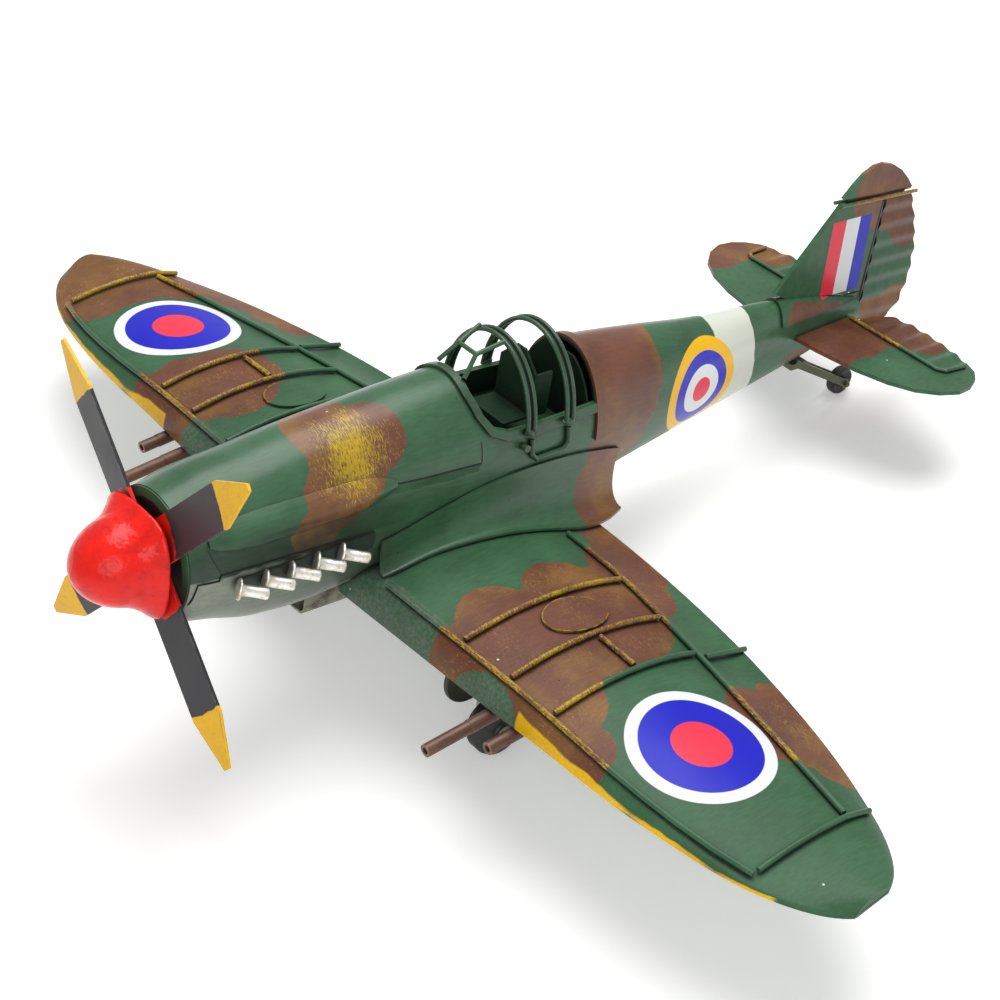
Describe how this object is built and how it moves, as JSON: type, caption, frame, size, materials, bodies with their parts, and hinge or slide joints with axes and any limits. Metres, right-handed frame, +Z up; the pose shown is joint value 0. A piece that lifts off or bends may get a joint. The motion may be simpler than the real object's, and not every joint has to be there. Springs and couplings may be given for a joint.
{
  "type": "model aeroplane",
  "caption": "Hand-made painted tin model of a single-seat propeller fighter, standing on its wheels, with a free-turning propeller.",
  "frame": {"origin": "centre of the bounding box at the level of the surface that the three wheels stand on", "axes": "+X to the port wing tip, +Y towards the tail, +Z up; the model sits nose-up on its wheels"},
  "size_m": [0.3732, 0.3262, 0.1214],
  "materials": {
    "camouflage_green": "satin",
    "earth_brown_paint": "satin",
    "gold_brown_paint": "satin",
    "sky_paint": "satin",
    "cockpit_green": "matte",
    "olive_paint": "satin",
    "black_paint": "satin",
    "red_enamel": "gloss",
    "blade_paint": "satin",
    "bare_steel": "satin",
    "bare_aluminium": "satin",
    "tyre_rubber": "satin"
  },
  "bodies": {
    "airframe": {"chin_scoop": "earth_brown_paint", "cockpit_coaming": "camouflage_green", "cockpit_floor": "cockpit_green", "cockpit_front_bulkhead": "cockpit_green", "cockpit_rear_bulkhead": "cockpit_green", "cowl_shell": "camouflage_green", "door_outline_wire": "camouflage_green", "elevator_wires": "gold_brown_paint", "exhaust_plates": "black_paint", "fin": "camouflage_green", "fin_cap_plate": "camouflage_green", "fin_wires": "gold_brown_paint", "main_hoop": "camouflage_green", "nose_ring": "black_paint", "port_cannon_barrels": "gold_brown_paint", "port_cowl_blister": "camouflage_green", "port_elevator": "camouflage_green", "port_exhaust_stubs": "bare_aluminium", "port_gear_door": "olive_paint", "port_gear_leg": "earth_brown_paint", "port_rib_wires": "gold_brown_paint", "port_root_fairing": "camouflage_green", "port_spar_wires": "gold_brown_paint", "port_tailplane": "camouflage_green", "port_wing_bottom_sheet": "sky_paint", "port_wing_top_sheet": "camouflage_green", "rear_arch_strip": "earth_brown_paint", "rear_hoop": "camouflage_green", "rear_shell": "camouflage_green", "rudder": "camouflage_green", "seat": "cockpit_green", "starboard_cannon_barrels": "gold_brown_paint", "starboard_cowl_blister": "camouflage_green", "starboard_elevator": "camouflage_green", "starboard_exhaust_stubs": "bare_aluminium", "starboard_gear_door": "olive_paint", "starboard_gear_leg": "earth_brown_paint", "starboard_rib_wires": "gold_brown_paint", "starboard_root_fairing": "camouflage_green", "starboard_spar_wires": "gold_brown_paint", "starboard_tailplane": "camouflage_green", "starboard_wing_bottom_sheet": "sky_paint", "starboard_wing_top_sheet": "camouflage_green", "tail_wheel_fork": "earth_brown_paint", "windscreen_frame": "camouflage_green", "wing_oval_plates": "gold_brown_paint"},
    "propeller": {"spinner_dome": "red_enamel", "spinner_flange": "red_enamel", "propeller_shaft": "bare_steel", "shaft_collar": "bare_steel", "blade_1": "blade_paint", "blade_2": "blade_paint", "blade_3": "blade_paint", "blade_4": "blade_paint"},
    "port_wheel": {"port_tyre": "tyre_rubber", "port_hub": "black_paint"},
    "starboard_wheel": {"starboard_tyre": "tyre_rubber", "starboard_hub": "black_paint"},
    "tail_wheel": {"tail_tyre": "tyre_rubber", "tail_hub": "black_paint"}
  },
  "joints": [
    {"name": "propeller_spin", "type": "hinge", "parent": "airframe", "child": "propeller", "pos_m": [0, -0.13536, 0.0754], "axis": [0, 0.982, -0.1891], "continuous": true},
    {"name": "port_wheel_spin", "type": "hinge", "parent": "airframe", "child": "port_wheel", "pos_m": [0.05675, -0.06714, 0.00869], "axis": [1, 0, 0], "continuous": true},
    {"name": "starboard_wheel_spin", "type": "hinge", "parent": "airframe", "child": "starboard_wheel", "pos_m": [-0.05675, -0.06714, 0.00869], "axis": [1, 0, 0], "continuous": true},
    {"name": "tail_wheel_spin", "type": "hinge", "parent": "airframe", "child": "tail_wheel", "pos_m": [0, 0.13245, 0.00498], "axis": [1, 0, 0], "continuous": true}
  ]
}
